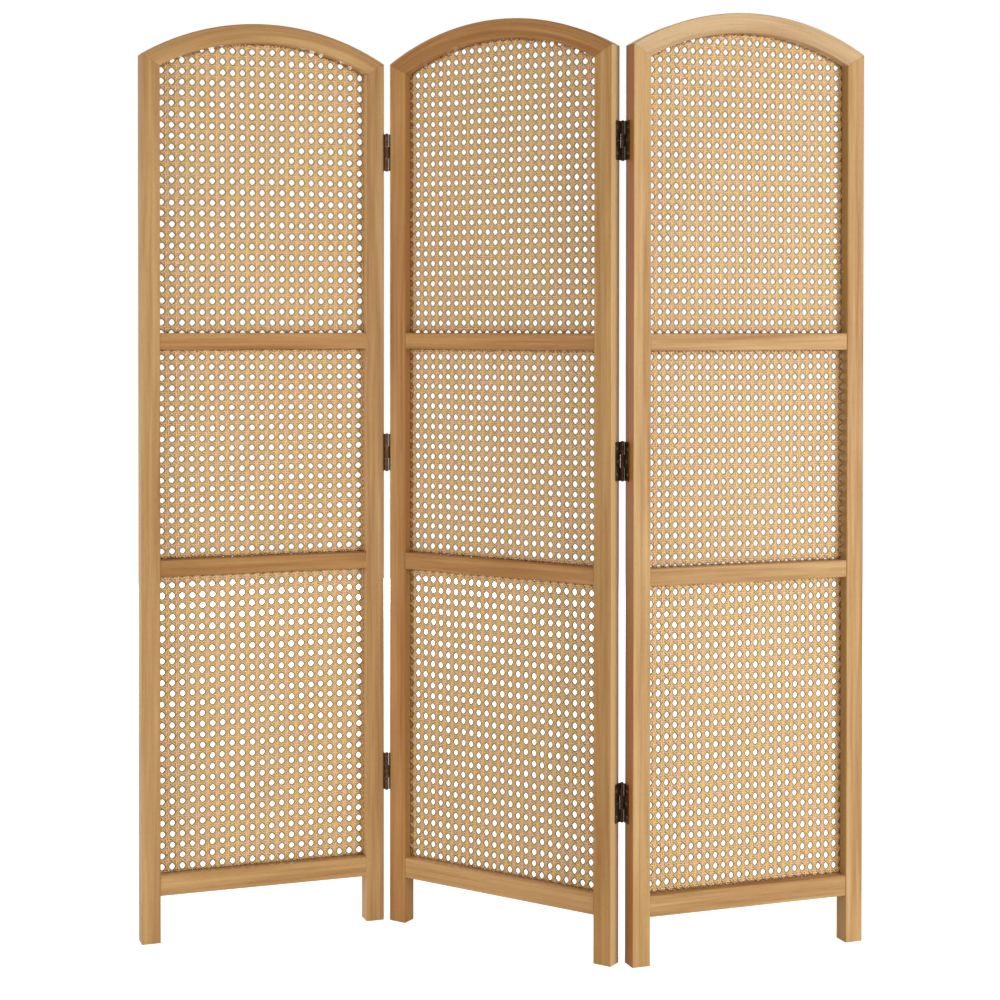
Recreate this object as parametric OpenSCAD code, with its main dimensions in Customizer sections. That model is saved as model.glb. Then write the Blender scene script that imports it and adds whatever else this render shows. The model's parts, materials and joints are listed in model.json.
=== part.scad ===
// Three-panel folding screen: arched wooden frames, woven cane infills, butt hinges.
// X runs to the right, Y to the back and Z up. The origin is on the floor, in the
// middle of the folded plan. All sizes are in millimetres and angles in degrees.

/* [Screen] */
// Height of a panel at the top of its arch
screen_h = 1700; // [1500:1:1900]
// Width of one panel
panel_w = 468; // [410:1:530]
// Rise of the arch over the outer corners of the panel
arch_rise = 65; // [40:1:110]
// Turn of the centre panel, its right edge coming forward
centre_turn = 33.5; // [0:0.5:60]
// Fold between the left and centre panels, 0 when they lie flat
fold_left = 51.5; // [10:0.5:120]
// Fold between the centre and right panels, 0 when they lie flat
fold_right = 51.5; // [10:0.5:120]

/* [Frame] */
// Depth of the stiles and the arch from front to back
frame_d = 32; // [26:0.5:38]
// Face width of a stile
stile_w = 35; // [30:0.5:44]
// Face width of the arched top rail
arch_w = 35; // [30:0.5:44]
// Face height of the two middle rails
mid_rail_h = 31; // [28:0.5:44]
// Face height of the bottom rail
foot_rail_h = 38; // [30:0.5:60]
// Floor to the underside of the bottom rail
foot_rail_z = 86; // [60:1:130]
// Floor to the underside of the lower middle rail
low_rail_z = 675; // [600:1:740]
// Floor to the underside of the upper middle rail
high_rail_z = 1093; // [1000:1:1160]
// Setback of the straight rails behind the faces of the stiles
rail_setback = 1.5; // [0.5:0.1:3]
// Flat that eases each long arris
arris = 1.5; // [0.5:0.1:2.5]

/* [Joinery] */
// Diameter of a joint dowel
dowel_d = 8; // [6:0.5:9]
// Length of a joint dowel, half in each piece
dowel_len = 30; // [20:1:32]
// Distance between the two dowels of a rail end
dowel_step = 16; // [12:0.5:18]
// Depth of the dowels behind the front face
dowel_y = 11; // [8:0.5:13]
// Radial room around a dowel
dowel_room = 0.05; // [0.02:0.01:0.1]
// Room past the end of a dowel or a screw
end_room = 0.5; // [0.2:0.1:1]

/* [Cane] */
// Thickness of the woven sheet
cane_t = 2; // [1:0.1:3]
// Width of the rebate that holds the sheet
rebate_w = 8; // [6:0.5:9]
// Front of the cane behind the middle of the frame's depth
cane_offset = 3; // [1.5:0.5:6]
// Room between the sheet and the walls of the rebate
sheet_room = 0.5; // [0.2:0.1:1]
// Room between a bead and the walls of the rebate
bead_room = 0.2; // [0.1:0.05:0.4]
// Room between two beads at a mitre
mitre_room = 0.2; // [0.1:0.05:0.4]
// Distance between gaps of the net, wider than the real weave
net_pitch = 76; // [70:1:120]
// Width of a gap of the net across its corners
net_gap = 46; // [30:1:60]
// Plain border kept between the frame and the first gap
net_border = 5; // [2:0.5:15]

/* [Hinges] */
// Length of a hinge
hinge_len = 70; // [60:1:90]
// Width of a leaf on the edge of the stile
leaf_w = 17; // [16:0.5:22]
// Thickness of a leaf
leaf_t = 1.6; // [1.4:0.1:2.2]
// Radius of the two free corners of a leaf
leaf_corner = 3; // [1:0.5:4]
// Diameter of a hinge pin
pin_d = 4; // [3.5:0.1:6]
// Radial room of a pin in its knuckles
pin_room = 0.05; // [0.02:0.01:0.09]
// Height of the round head at each end of a pin
pin_head_h = 1.2; // [1:0.1:2]
// Gap between neighbouring knuckles
knuckle_gap = 0.4; // [0.3:0.1:1]
// Room between the knuckles and the plane of the stile's edge
edge_room = 0.1; // [0.05:0.05:0.4]
// Room between a knuckle and the faces and leaves that it passes
knuckle_room = 0.5; // [0.3:0.1:1.5]
// Floor to the middle of the lowest hinges
low_hinge_z = 286; // [200:1:400]
// Floor to the middle of the middle hinges
mid_hinge_z = 896; // [800:1:980]
// Middle of the highest hinges below the outer corners of the arch
high_hinge_drop = 168; // [140:1:300]

/* [Screws] */
// Diameter of the countersunk head
head_d = 6; // [5.4:0.1:6.6]
// Diameter of the shank
shank_d = 3; // [2.6:0.1:3.5]
// Length of a screw under its leaf
shank_len = 15; // [10:1:17]
// Distance from the ends of a leaf to the outer screws
screw_end = 12; // [9:0.5:16]
// Distance from the knuckle side of the stile to the outer screws
screw_far = 12; // [11:0.5:13]
// Distance from the knuckle side of the stile to the middle screw
screw_near = 8; // [7:0.5:9]
// Room around a screw
screw_room = 0.05; // [0.02:0.01:0.1]
// Thickness of the leaf left under a screw head
head_seat = 0.3; // [0.2:0.1:0.5]

/* [Hidden] */

wood = [0.76, 0.60, 0.41];
cane = [0.85, 0.70, 0.50];
bronze = [0.25, 0.17, 0.10];
smooth = 64;
fine = 32;
gap_sides = 6;

// How far a cut runs past the face that it opens
past = 1;

// Inner edges of the frame, seen from the front
inner_x0 = stile_w;
inner_x1 = panel_w - stile_w;
half_w = panel_w / 2;

// The arch is a circular arc through the two outer corners of the panel
corner_z = screen_h - arch_rise;
arch_r = (half_w * half_w + arch_rise * arch_rise) / (2 * arch_rise);
arch_z = screen_h - arch_r;
arch_inner_r = arch_r - arch_w;
function arc_z(r, x) = arch_z + sqrt(r * r - (x - half_w) * (x - half_w));
mitre_z = arc_z(arch_inner_r, stile_w);

// Front of the cane, which lies on the floor of its rebate
cane_y = frame_d / 2 + cane_offset;

// Openings from the floor up, the last one closed by the arch
foot_open = [foot_rail_z + foot_rail_h, low_rail_z];
low_open = [low_rail_z + mid_rail_h, high_rail_z];
top_open = [high_rail_z + mid_rail_h, 0];

// Hinges: the knuckles stand just proud of the faces that fold together
knuckle_r = pin_d / 2 + pin_room + leaf_t;
panel_gap = 2 * (knuckle_r + edge_room);
axis_out = knuckle_r + knuckle_room;
knuckle_len = (hinge_len - 2 * knuckle_gap) / 3;
pin_head_r = knuckle_r - leaf_t / 2;
high_hinge_z = corner_z - high_hinge_drop;
hinge_zs = [low_hinge_z, mid_hinge_z, high_hinge_z];
screw_spots = [
    [screw_far, -hinge_len / 2 + screw_end],
    [screw_near, 0],
    [screw_far, hinge_len / 2 - screw_end]
];

// Plan of the folded screen, worked out from the centre panel
left_turn = fold_left - centre_turn;
right_turn = fold_right - centre_turn;
function spin(v, a) = [v[0] * cos(a) - v[1] * sin(a), v[0] * sin(a) + v[1] * cos(a)];
centre_mid = [half_w, frame_d / 2];
front_axis = spin([-panel_gap / 2, -axis_out] - centre_mid, -centre_turn);
back_axis = spin([panel_w + panel_gap / 2, frame_d + axis_out] - centre_mid, -centre_turn);
function left_plan(v) = front_axis + spin(v - [panel_w + panel_gap / 2, -axis_out], left_turn);
function centre_plan(v) = spin(v - centre_mid, -centre_turn);
function right_plan(v) = back_axis + spin(v - [-panel_gap / 2, frame_d + axis_out], right_turn);

// Section of a stile, and the corners of the whole plan that set the origin
function eased(w, d) = [
    [arris, 0], [w - arris, 0], [w, arris], [w, d - arris],
    [w - arris, d], [arris, d], [0, d - arris], [0, arris]
];
outline = eased(panel_w, frame_d);
corners = concat(
    [for (v = outline) left_plan(v)],
    [for (v = outline) centre_plan(v)],
    [for (v = outline) right_plan(v)]
);
xs = [for (c = corners) c[0]];
ys = [for (c = corners) c[1]];
mid_x = (min(xs) + max(xs)) / 2;
mid_y = (min(ys) + max(ys)) / 2;

module on_axis(axis, turn, reach) {
    translate([axis[0] - mid_x, axis[1] - mid_y, 0])
        rotate([0, 0, turn])
            translate([-reach[0], -reach[1], 0])
                children();
}

// Puts a piece drawn in its panel's own frame where the panel stands
module on_panel(panel) {
    if (panel == "left")
        on_axis(front_axis, left_turn, [panel_w + panel_gap / 2, -axis_out]) children();
    if (panel == "centre")
        on_axis([0, 0], -centre_turn, centre_mid) children();
    if (panel == "right")
        on_axis(back_axis, right_turn, [-panel_gap / 2, frame_d + axis_out]) children();
}

// A shape drawn in X and Z, extruded from depth y0 to depth y1
module slab(points, y0, y1) {
    translate([0, y1, 0])
        rotate([90, 0, 0])
            linear_extrude(y1 - y0)
                polygon(points);
}

// A disc round the centre of the arch, from depth y0 to depth y1
module arch_disc(r, y0, y1) {
    translate([half_w, y1, arch_z])
        rotate([90, 0, 0])
            cylinder(h = y1 - y0, r = r, $fn = 4 * smooth);
}

// Everything inside an opening grown by a margin, straight or arched at the top
module opening_block(span, grow, y0, y1) {
    x0 = inner_x0 - grow;
    wide = inner_x1 - inner_x0 + 2 * grow;
    z0 = span[0] - grow;
    if (span[1] > 0) {
        translate([x0, y0, z0])
            cube([wide, y1 - y0, span[1] + grow - z0]);
    } else {
        intersection() {
            translate([x0, y0, z0])
                cube([wide, y1 - y0, screen_h - z0]);
            arch_disc(arch_inner_r + grow, y0, y1);
        }
    }
}

module rebates() {
    for (span = [foot_open, low_open, top_open])
        opening_block(span, rebate_w, cane_y, frame_d + past);
}

// Dowels of one rail end, lying along X with their middle on the joint at x
module rail_dowels(x, z, h, extra_d, extra_len) {
    for (side = [-1, 1])
        translate([x, dowel_y, z + h / 2 + side * dowel_step / 2])
            rotate([0, 90, 0])
                cylinder(h = dowel_len + extra_len, d = dowel_d + extra_d, center = true, $fn = fine);
}

// Dowel across the mitre between a stile and the arch
module mitre_dowel(extra_d, extra_len) {
    tilt = atan2(corner_z - mitre_z, stile_w);
    translate([stile_w / 2, dowel_y, (corner_z + mitre_z) / 2])
        rotate([0, tilt, 0])
            cylinder(h = dowel_len + extra_len, d = dowel_d + extra_d, center = true, $fn = fine);
}

module both_sides() {
    children();
    translate([panel_w, 0, 0])
        mirror([1, 0, 0])
            children();
}

module all_dowels(extra_d, extra_len) {
    both_sides() {
        rail_dowels(inner_x0, foot_rail_z, foot_rail_h, extra_d, extra_len);
        rail_dowels(inner_x0, low_rail_z, mid_rail_h, extra_d, extra_len);
        rail_dowels(inner_x0, high_rail_z, mid_rail_h, extra_d, extra_len);
        mitre_dowel(extra_d, extra_len);
    }
}

module dowel_holes() {
    all_dowels(2 * dowel_room, 2 * end_room);
}

// Left stile of a panel, cut to the mitre at its top
module stile() {
    difference() {
        intersection() {
            linear_extrude(corner_z)
                polygon(eased(stile_w, frame_d));
            slab([[0, 0], [stile_w, 0], [stile_w, mitre_z], [0, corner_z]], 0, frame_d);
        }
        rebates();
        dowel_holes();
    }
}

// Stile at the left edge of its panel, with the pilot holes of the hinges that it carries
module stile_left(edge) {
    color(wood)
        difference() {
            stile();
            on_edge(edge)
                pilots();
        }
}

module stile_right(edge) {
    color(wood)
        difference() {
            translate([panel_w, 0, 0])
                mirror([1, 0, 0])
                    stile();
            on_edge(edge)
                pilots();
        }
}

// Arched top rail, turned about the centre of the arch and mitred to the stiles
module arch_rail() {
    color(wood)
        difference() {
            intersection() {
                translate([half_w, frame_d, arch_z])
                    rotate([90, 0, 0])
                        rotate_extrude($fn = 4 * smooth)
                            translate([arch_inner_r, 0])
                                polygon(eased(arch_w, frame_d));
                slab([
                    [0, corner_z], [stile_w, mitre_z], [inner_x1, mitre_z],
                    [panel_w, corner_z], [panel_w, screen_h + past], [0, screen_h + past]
                ], 0, frame_d);
            }
            rebates();
            dowel_holes();
        }
}

// Straight rail between the stiles, flush with them at the back
module straight_rail(z, h) {
    color(wood)
        difference() {
            translate([inner_x0, rail_setback, z])
                rotate([90, 0, 90])
                    linear_extrude(inner_x1 - inner_x0)
                        polygon(eased(frame_d - rail_setback, h));
            rebates();
            dowel_holes();
        }
}

// Centres of the net's gaps in one opening, row by row from its lower edge
function counted(length) = floor((length - 2 * net_border - net_gap) / net_pitch) + 1;
function top_of(span) = span[1] > 0 ? span[1] : screen_h - arch_w;
function spread(count) = (count - 1) * net_pitch;
function fits(span, x, z) = span[1] > 0
    || norm([x - half_w, z - arch_z]) + net_gap / 2 + net_border < arch_inner_r;
function gap_centres(span) =
    let (columns = counted(inner_x1 - inner_x0))
    let (rows = counted(top_of(span) - span[0]))
    let (x0 = half_w - spread(columns) / 2)
    let (z0 = (span[0] + top_of(span) - spread(rows)) / 2)
    [
        for (j = [0 : rows - 1])
            for (i = [0 : columns - 1])
                let (x = x0 + i * net_pitch)
                let (z = z0 + j * net_pitch)
                if (fits(span, x, z)) [x, z]
    ];

// Cane sheet lying on the floor of its rebate, opened as a flat net
module cane_sheet(span) {
    color(cane)
        difference() {
            opening_block(span, rebate_w - sheet_room, cane_y, cane_y + cane_t);
            for (c = gap_centres(span))
                translate([c[0], cane_y + cane_t + past, c[1]])
                    rotate([90, 0, 0])
                        cylinder(h = cane_t + 2 * past, d = net_gap, $fn = gap_sides);
        }
}

// Four mitred beads that press the sheet into its rebate from behind
module beads(span) {
    g = rebate_w;
    z0 = span[0];
    inner_top = span[1] > 0 ? span[1] : mitre_z;
    outer_top = span[1] > 0 ? span[1] + g : arc_z(arch_inner_r + g, inner_x0 - g);
    low_outer = [inner_x0 - g, z0 - g];
    low_inner = [inner_x0, z0];
    high_outer = [inner_x0 - g, outer_top];
    high_inner = [inner_x0, inner_top];
    room = [0, mitre_room];
    bottom = [low_outer, low_inner, flip(low_inner), flip(low_outer)];
    side = [low_outer + room, low_inner + room, high_inner - room, high_outer - room];
    top = [
        high_outer, high_inner, flip(high_inner), flip(high_outer),
        [inner_x1 + g, screen_h], [inner_x0 - g, screen_h]
    ];
    color(wood)
        for (region = [bottom, side, [for (v = side) flip(v)], top])
            intersection() {
                difference() {
                    opening_block(span, g - bead_room, cane_y + cane_t, frame_d);
                    opening_block(span, 0, cane_y, frame_d + past);
                }
                slab(region, cane_y, frame_d + past);
            }
}
function flip(v) = [panel_w - v[0], v[1]];

// Puts a hinge, drawn with its axis on Z and its stile at -X and +Y, at its edge
module on_edge(edge) {
    if (edge == "left")
        translate([panel_w + panel_gap / 2, -axis_out, 0]) children();
    if (edge == "centre_front")
        translate([-panel_gap / 2, -axis_out, 0]) mirror([1, 0, 0]) children();
    if (edge == "centre_back")
        translate([panel_w + panel_gap / 2, frame_d + axis_out, 0]) mirror([0, 1, 0]) children();
    if (edge == "right")
        translate([-panel_gap / 2, frame_d + axis_out, 0]) rotate([0, 0, 180]) children();
}

// Stands the three screws of one leaf on its stile, their heads at +X
module at_screws(z) {
    for (spot = screw_spots)
        translate([-panel_gap / 2, axis_out + spot[0], z + spot[1]])
            rotate([0, 90, 0])
                children();
}

module pilots() {
    for (z = hinge_zs)
        at_screws(z)
            translate([0, 0, -shank_len - end_room])
                cylinder(h = shank_len + end_room + leaf_t, d = shank_d + 2 * screw_room, $fn = fine);
}

// Countersunk screw, or with room the hole for it
module screw(room) {
    translate([0, 0, -shank_len])
        cylinder(h = shank_len + head_seat, d = shank_d + 2 * room, $fn = fine);
    translate([0, 0, head_seat])
        cylinder(h = leaf_t - head_seat, d1 = shank_d + 2 * room, d2 = head_d + 2 * room, $fn = fine);
}

module hinge_screws() {
    color(bronze)
        for (z = hinge_zs)
            at_screws(z)
                screw(0);
}

// Plate of a leaf with its two free corners rounded
module leaf_plate() {
    reach = axis_out + leaf_w;
    translate([-panel_gap / 2, 0, -hinge_len / 2])
        cube([leaf_t, reach - leaf_corner, hinge_len]);
    translate([-panel_gap / 2, 0, -hinge_len / 2 + leaf_corner])
        cube([leaf_t, reach, hinge_len - 2 * leaf_corner]);
    for (side = [-1, 1])
        translate([-panel_gap / 2, reach - leaf_corner, side * (hinge_len / 2 - leaf_corner)])
            rotate([0, 90, 0])
                cylinder(h = leaf_t, r = leaf_corner, $fn = fine);
}

// Leaf with the two outer knuckles or the middle one, notched for those of its partner
module leaf(kind) {
    outer = hinge_len / 2 - knuckle_len;
    own = kind == "outer" ? [-hinge_len / 2, outer] : [-knuckle_len / 2];
    other = kind == "outer"
        ? [[-outer, outer]]
        : [[-hinge_len / 2 - past, -knuckle_len / 2], [knuckle_len / 2, hinge_len / 2 + past]];
    color(bronze)
        difference() {
            union() {
                difference() {
                    leaf_plate();
                    for (span = other)
                        translate([-panel_gap, -knuckle_r, span[0]])
                            cube([2 * panel_gap, 2 * knuckle_r + knuckle_room, span[1] - span[0]]);
                }
                for (z = own)
                    translate([0, 0, z])
                        cylinder(h = knuckle_len, r = knuckle_r, $fn = smooth);
            }
            cylinder(h = 2 * hinge_len, d = pin_d + 2 * pin_room, center = true, $fn = smooth);
            at_screws(0)
                screw(screw_room);
        }
}

// Pin with a round head on each end of the knuckles
module hinge_pin() {
    cylinder(h = hinge_len, d = pin_d, center = true, $fn = smooth);
    for (side = [0, 1])
        mirror([0, 0, side])
            translate([0, 0, hinge_len / 2])
                cylinder(h = pin_head_h, r1 = pin_head_r, r2 = pin_d / 2, $fn = smooth);
}

module hinge_pins() {
    color(bronze)
        for (z = hinge_zs)
            translate([0, 0, z])
                hinge_pin();
}

module dowels() {
    color(wood)
        all_dowels(0, 0);
}

for (panel = ["left", "centre", "right"]) {
    on_panel(panel) arch_rail();
    on_panel(panel) straight_rail(high_rail_z, mid_rail_h);
    on_panel(panel) straight_rail(low_rail_z, mid_rail_h);
    on_panel(panel) straight_rail(foot_rail_z, foot_rail_h);
    on_panel(panel) cane_sheet(top_open);
    on_panel(panel) cane_sheet(low_open);
    on_panel(panel) cane_sheet(foot_open);
    on_panel(panel) beads(top_open);
    on_panel(panel) beads(low_open);
    on_panel(panel) beads(foot_open);
    on_panel(panel) dowels();
}
on_panel("left") stile_left("none");  // left_stile_left
on_panel("left") stile_right("left");  // left_stile_right
on_panel("centre") stile_left("centre_front");  // centre_stile_left
on_panel("centre") stile_right("centre_back");  // centre_stile_right
on_panel("right") stile_left("right");  // right_stile_left
on_panel("right") stile_right("none");  // right_stile_right
for (i = [0 : 2]) {
    level = ["low", "mid", "high"][i];
    place = [0, 0, hinge_zs[i]];
    on_panel("left") on_edge("left") translate(place) leaf("outer");
    on_panel("centre") on_edge("centre_front") translate(place) leaf("middle");
    on_panel("centre") on_edge("centre_back") translate(place) leaf("outer");
    on_panel("right") on_edge("right") translate(place) leaf("middle");
}
on_panel("left") on_edge("left") hinge_pins();  // front_hinge_pins
on_panel("centre") on_edge("centre_back") hinge_pins();  // back_hinge_pins
on_panel("left") on_edge("left") hinge_screws();  // left_hinge_screws
on_panel("centre") on_edge("centre_front") hinge_screws();  // centre_front_screws
on_panel("centre") on_edge("centre_back") hinge_screws();  // centre_back_screws
on_panel("right") on_edge("right") hinge_screws();  // right_hinge_screws
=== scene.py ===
import json
from math import pi, radians

import bpy
from mathutils import Matrix, Vector


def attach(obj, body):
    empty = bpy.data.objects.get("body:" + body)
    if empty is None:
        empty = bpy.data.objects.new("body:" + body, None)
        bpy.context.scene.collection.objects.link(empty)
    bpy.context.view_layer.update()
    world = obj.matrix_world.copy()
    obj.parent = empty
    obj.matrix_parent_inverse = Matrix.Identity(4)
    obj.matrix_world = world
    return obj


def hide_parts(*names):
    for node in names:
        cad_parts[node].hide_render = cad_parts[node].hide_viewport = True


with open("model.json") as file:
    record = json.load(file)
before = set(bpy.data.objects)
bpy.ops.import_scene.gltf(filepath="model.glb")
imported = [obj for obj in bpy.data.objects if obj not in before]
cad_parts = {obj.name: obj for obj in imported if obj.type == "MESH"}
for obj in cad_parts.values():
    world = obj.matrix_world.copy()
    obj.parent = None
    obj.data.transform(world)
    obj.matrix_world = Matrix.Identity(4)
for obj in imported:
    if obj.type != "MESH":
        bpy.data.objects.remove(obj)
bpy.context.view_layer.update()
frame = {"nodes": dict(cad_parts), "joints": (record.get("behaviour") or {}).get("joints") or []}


# Frames of the three panels: planed light-brown softwood, rubbed with a satin oil.
# The stiles are cut with the grain upright, the rails with it along their length,
# and the arched heads are sawn from boards whose grain roughly follows the curve.
MM = 0.001
PANEL_W = 468 * MM
PANEL_D = 32 * MM
STILE_W = 35 * MM
ARCH_MIDDLE = (PANEL_W / 2, 1246.3 * MM)
ARCH_INNER_R = 418.7 * MM
PANEL_GAP = 7.5 * MM       # between two panels that stand in one line
AXIS_OUT = 4.15 * MM       # from the faces of the panels to the middle of the hinge pins
OUTER_TURN = 18            # degrees that the outer panels are turned
CENTRE_TURN = -33.5
FOLD_AXES = {joint["name"]: joint["pos_m"] for joint in frame["joints"]}


def stood(axis, turn, reach):
    """Where a panel stands that is drawn from its own front left foot corner, turned by
    turn degrees on an axis that lies at reach in the drawing."""
    return (Matrix.Translation((axis[0], axis[1], 0))
            @ Matrix.Rotation(radians(turn), 4, "Z")
            @ Matrix.Translation((-reach[0], -reach[1], 0)))


PANELS = {
    "left": stood(FOLD_AXES["left_fold"], OUTER_TURN, (PANEL_W + PANEL_GAP / 2, -AXIS_OUT)),
    "centre": stood((0, 0), CENTRE_TURN, (PANEL_W / 2, PANEL_D / 2)),
    "right": stood(FOLD_AXES["right_fold"], OUTER_TURN, (-PANEL_GAP / 2, PANEL_D + AXIS_OUT)),
}
WOOD_RUNS = {
    "stile_left": "upright", "stile_right": "upright", "arch_rail": "arched",
    "upper_rail": "level", "lower_rail": "level", "bottom_rail": "level",
    "beads_top": "level", "beads_middle": "level", "beads_bottom": "level",
}
SAPWOOD = (0.570, 0.350, 0.142)
HEARTWOOD = (0.335, 0.158, 0.050)
HEART_SHARE = 0.46         # of a board, before the next four move it up or down
BOARD_SWAY = 0.24
SLOW_SWAY = 0.14
BAND_SWAY = 0.14
STREAK_SWAY = 0.21
FIBRE_SWAY = 0.045         # of the tone, up or down
PORE_DARKNESS = 0.12
BANDS_PER_M = 62           # growth bands across the grain
BAND_WANDER = 3.2          # how many bands aside they wander
BAND_SHARPNESS = 2.2
ARRIS_R = 1.2 * MM
ARRIS_SHADE = 0.8          # of the heartwood's colour
SIDE_SHADE_FULL = 0.2 * MM      # from a stile's side, its painted light or shade is full up to here
SIDE_SHADE_END = 1.6 * MM       # and ends here
APART_ACROSS = 0.37        # metres between two pieces in the log, across and deep
APART_DEEP = 0.61
# Panel tints, partly each panel's own tone and partly painted light: the right panel is paler where
# more lamp light falls on it, and the centre panel darker and browner where less falls on it
PANEL_TONE_AND_LIGHT = {"left": (1.0, 1.0, 1.0), "centre": (1.02, 0.91, 0.76), "right": (1.11, 1.15, 1.18)}
# Boards that differ from the others of their panel: tint, and how much ruddier they are
BOARDS = {
    ("left", "upper_rail"): ((1.0, 0.93, 0.84), 0.02),
    ("left", "lower_rail"): ((1.0, 0.96, 0.83), 0.42),
    ("left", "bottom_rail"): ((1.05, 1.05, 1.02), -0.10),
    ("centre", "arch_rail"): (PANEL_TONE_AND_LIGHT["centre"], 0.26),
    ("centre", "lower_rail"): (PANEL_TONE_AND_LIGHT["centre"], 0.18),
    ("centre", "bottom_rail"): ((1.10, 1.06, 1.06), -0.42),
    ("centre", "stile_right"): ((1.03, 0.98, 0.83), -0.12),
    ("right", "arch_rail"): ((1.10, 1.21, 1.58), -0.28),
    ("right", "upper_rail"): (PANEL_TONE_AND_LIGHT["right"], 0.08),
    ("right", "stile_right"): (PANEL_TONE_AND_LIGHT["right"], 0.08),
}
# Stretches of stiles painted lighter or darker, with less or more of the heartwood colour: height, how
# far they reach, and how much
STRETCHES = {
    ("left", "stile_left"): ((0.40, 0.45, -0.28),),
    ("left", "stile_right"): ((1.35, 0.40, -0.12), (0.0, 0.20, 0.12)),
    ("centre", "stile_left"): ((0.88, 0.25, -0.18), (0.40, 0.25, 0.14)),
    ("centre", "stile_right"): ((0.88, 0.35, -0.18),),
    ("right", "stile_left"): ((0.30, 0.45, -0.28),),
    ("right", "stile_right"): ((0.90, 0.35, 0.24), (0.0, 0.35, -0.34)),
}
# Sides of stiles with painted light or painted shade: lighter where lamps would light them more, darker
# where they stand in shade, darkest on the right panel's side in the gap between panels: where across
# the panel, and colour
SIDE_LIGHT_AND_SHADE = {
    ("left", "stile_right"): (PANEL_W - STILE_W, (0.62, 0.36, 0.15)),
    ("centre", "stile_left"): (STILE_W, (0.31, 0.145, 0.035)),
    ("centre", "stile_right"): (PANEL_W, (0.58, 0.39, 0.19)),
    ("right", "stile_left"): (0.0, (0.28, 0.080, 0.002)),
    ("right", "stile_right"): (PANEL_W - STILE_W, (0.32, 0.17, 0.045)),
}


def feed(tree, node, feeds):
    """Gives inputs of a node outputs of other nodes, or plain values."""
    for key, value in feeds.items():
        if isinstance(value, bpy.types.NodeSocket):
            tree.links.new(value, node.inputs[key])
        else:
            node.inputs[key].default_value = value


def put(tree, kind, feeds=None, **settings):
    """Adds a node to a tree."""
    node = tree.nodes.new(kind)
    for name, value in settings.items():
        setattr(node, name, value)
    feed(tree, node, feeds or {})
    return node


def calc(tree, operation, *terms, clamp=False):
    """Arithmetic on outputs or numbers."""
    return put(tree, "ShaderNodeMath", dict(enumerate(terms)),
               operation=operation, use_clamp=clamp).outputs[0]


def vector_calc(tree, operation, *terms, out=0):
    """Vector arithmetic on outputs or triples."""
    return put(tree, "ShaderNodeVectorMath", dict(enumerate(terms)),
               operation=operation).outputs[out]


def xyz(tree, x=0.0, y=0.0, z=0.0):
    return put(tree, "ShaderNodeCombineXYZ", {0: x, 1: y, 2: z}).outputs[0]


def parted(tree, vector):
    """The three numbers of a vector."""
    return put(tree, "ShaderNodeSeparateXYZ", {0: vector}).outputs


def spread(tree, value, low, high, to_low=0.0, to_high=1.0, ease=False):
    """Maps a value from one range to another, held at both ends."""
    return put(tree, "ShaderNodeMapRange", {0: value, 1: low, 2: high, 3: to_low, 4: to_high},
               interpolation_type="SMOOTHSTEP" if ease else "LINEAR").outputs[0]


def grain_noise(tree, place, scale, detail=2.0, roughness=0.5):
    return put(tree, "ShaderNodeTexNoise", {
        "Vector": place, "Scale": scale, "Detail": detail, "Roughness": roughness}).outputs["Fac"]


def blended(tree, share, first, second, blend="MIX"):
    """Mixes two colours."""
    first, second = ((*colour, 1) if isinstance(colour, tuple) else colour
                     for colour in (first, second))
    return put(tree, "ShaderNodeMix", {0: share, 6: first, 7: second},
               data_type="RGBA", blend_type=blend).outputs[2]


def finish_material(name):
    """A new material, its tree and its main shader."""
    material = bpy.data.materials.new(name)
    material.use_nodes = True
    return material, material.node_tree, material.node_tree.nodes["Principled BSDF"]


def own_place(tree):
    """Where a point lies on the object."""
    return put(tree, "ShaderNodeTexCoord").outputs["Object"]


def rounded_edges(tree, radius):
    """Normals that run round the edges, and how near they are to the face's own: 1 on flats."""
    rounded = put(tree, "ShaderNodeBevel", {"Radius": radius}, samples=6).outputs[0]
    face = put(tree, "ShaderNodeNewGeometry").outputs["Normal"]
    return rounded, vector_calc(tree, "DOT_PRODUCT", rounded, face, out=1)


def dress(node, material):
    """Gives a CAD node its finish."""
    frame["nodes"][node].material_slots[0].material = material


def wood_place(tree, panel, run):
    """Where a point lies in its board: across the grain, deep into it, and along the grain."""
    stands = PANELS[panel].inverted()
    place = put(tree, "ShaderNodeMapping", {
        "Vector": own_place(tree), "Location": stands.to_translation(),
        "Rotation": stands.to_euler()}).outputs[0]
    x, y, z = parted(tree, place)
    if run == "upright":
        return x, y, z
    if run == "level":
        return z, y, x
    dx = calc(tree, "SUBTRACT", x, ARCH_MIDDLE[0])
    dz = calc(tree, "SUBTRACT", z, ARCH_MIDDLE[1])
    radius = vector_calc(tree, "LENGTH", xyz(tree, dx, 0.0, dz), out=1)
    turn = calc(tree, "ARCTAN2", dx, dz)
    return radius, y, calc(tree, "MULTIPLY", turn, ARCH_INNER_R)


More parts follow.
